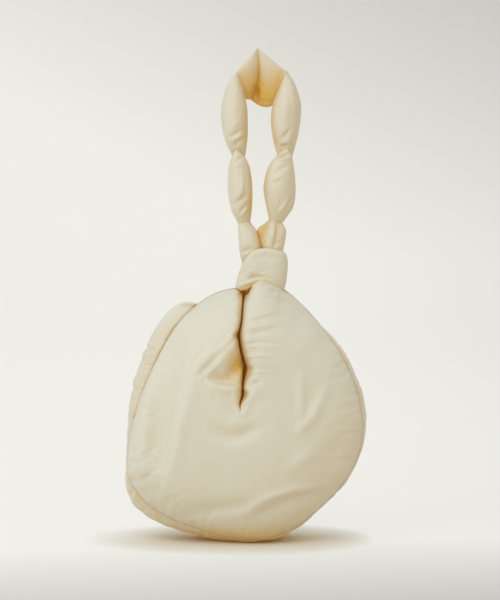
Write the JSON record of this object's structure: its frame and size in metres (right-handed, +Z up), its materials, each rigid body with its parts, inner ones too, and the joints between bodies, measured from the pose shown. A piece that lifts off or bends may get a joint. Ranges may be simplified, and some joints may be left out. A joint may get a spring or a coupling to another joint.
{
  "type": "padded knot bag",
  "caption": "Round padded fabric hand bag on a gusset, closed by passing its long stuffed handle through a short padded loop.",
  "frame": {"origin": "on the floor under the middle of the body, half way between the front and back panels", "axes": "+Z up along the handle, -Y towards the front of the bag, +X to the right seen from the front"},
  "size_m": [0.276, 0.149, 0.5637],
  "materials": {
    "shell_fabric": "matt cream nylon plain weave",
    "lining_fabric": "thin smooth cream lining",
    "fibre_wadding": "loose white polyester fibre"
  },
  "bodies": {
    "bag": {"front_cover": "shell_fabric", "front_left_wadding": "fibre_wadding", "front_right_wadding": "fibre_wadding", "front_lower_wadding": "fibre_wadding", "front_lining": "lining_fabric", "back_cover": "shell_fabric", "back_left_wadding": "fibre_wadding", "back_right_wadding": "fibre_wadding", "back_lower_wadding": "fibre_wadding", "back_lining": "lining_fabric", "gusset_cover": "shell_fabric", "gusset_wadding": "fibre_wadding", "gusset_lining": "lining_fabric", "knot_loop": "shell_fabric"},
    "handle_neck": {"left_neck": "shell_fabric", "right_neck": "shell_fabric"},
    "handle_base": {"left_base_cell": "shell_fabric", "left_base_filling": "fibre_wadding", "right_base_cell": "shell_fabric", "right_base_filling": "fibre_wadding"},
    "handle_lower": {"left_lower_cell": "shell_fabric", "left_lower_filling": "fibre_wadding", "right_lower_cell": "shell_fabric", "right_lower_filling": "fibre_wadding"},
    "handle_upper": {"left_upper_cell": "shell_fabric", "left_upper_filling": "fibre_wadding", "right_upper_cell": "shell_fabric", "right_upper_filling": "fibre_wadding"},
    "handle_crown": {"crown_left_cell": "shell_fabric", "crown_left_filling": "fibre_wadding", "crown_right_cell": "shell_fabric", "crown_right_filling": "fibre_wadding"}
  },
  "joints": [
    {"name": "handle_draw", "type": "slide", "parent": "bag", "child": "handle_neck", "axis": [0, 0, 1], "range_m": [0, 0.012]},
    {"name": "base_fold", "type": "hinge", "parent": "handle_neck", "child": "handle_base", "pos_m": [0.0148, 0, 0.3343], "axis": [1, 0, 0], "range_deg": [-30, 30]},
    {"name": "lower_fold", "type": "hinge", "parent": "handle_base", "child": "handle_lower", "pos_m": [0.0148, 0, 0.3643], "axis": [1, 0, 0], "range_deg": [-45, 45]},
    {"name": "upper_fold", "type": "hinge", "parent": "handle_lower", "child": "handle_upper", "pos_m": [0.0148, 0, 0.4433], "axis": [1, 0, 0], "range_deg": [-45, 45]},
    {"name": "crown_fold", "type": "hinge", "parent": "handle_upper", "child": "handle_crown", "pos_m": [0.0148, 0, 0.5313], "axis": [1, 0, 0], "range_deg": [-45, 45]}
  ]
}
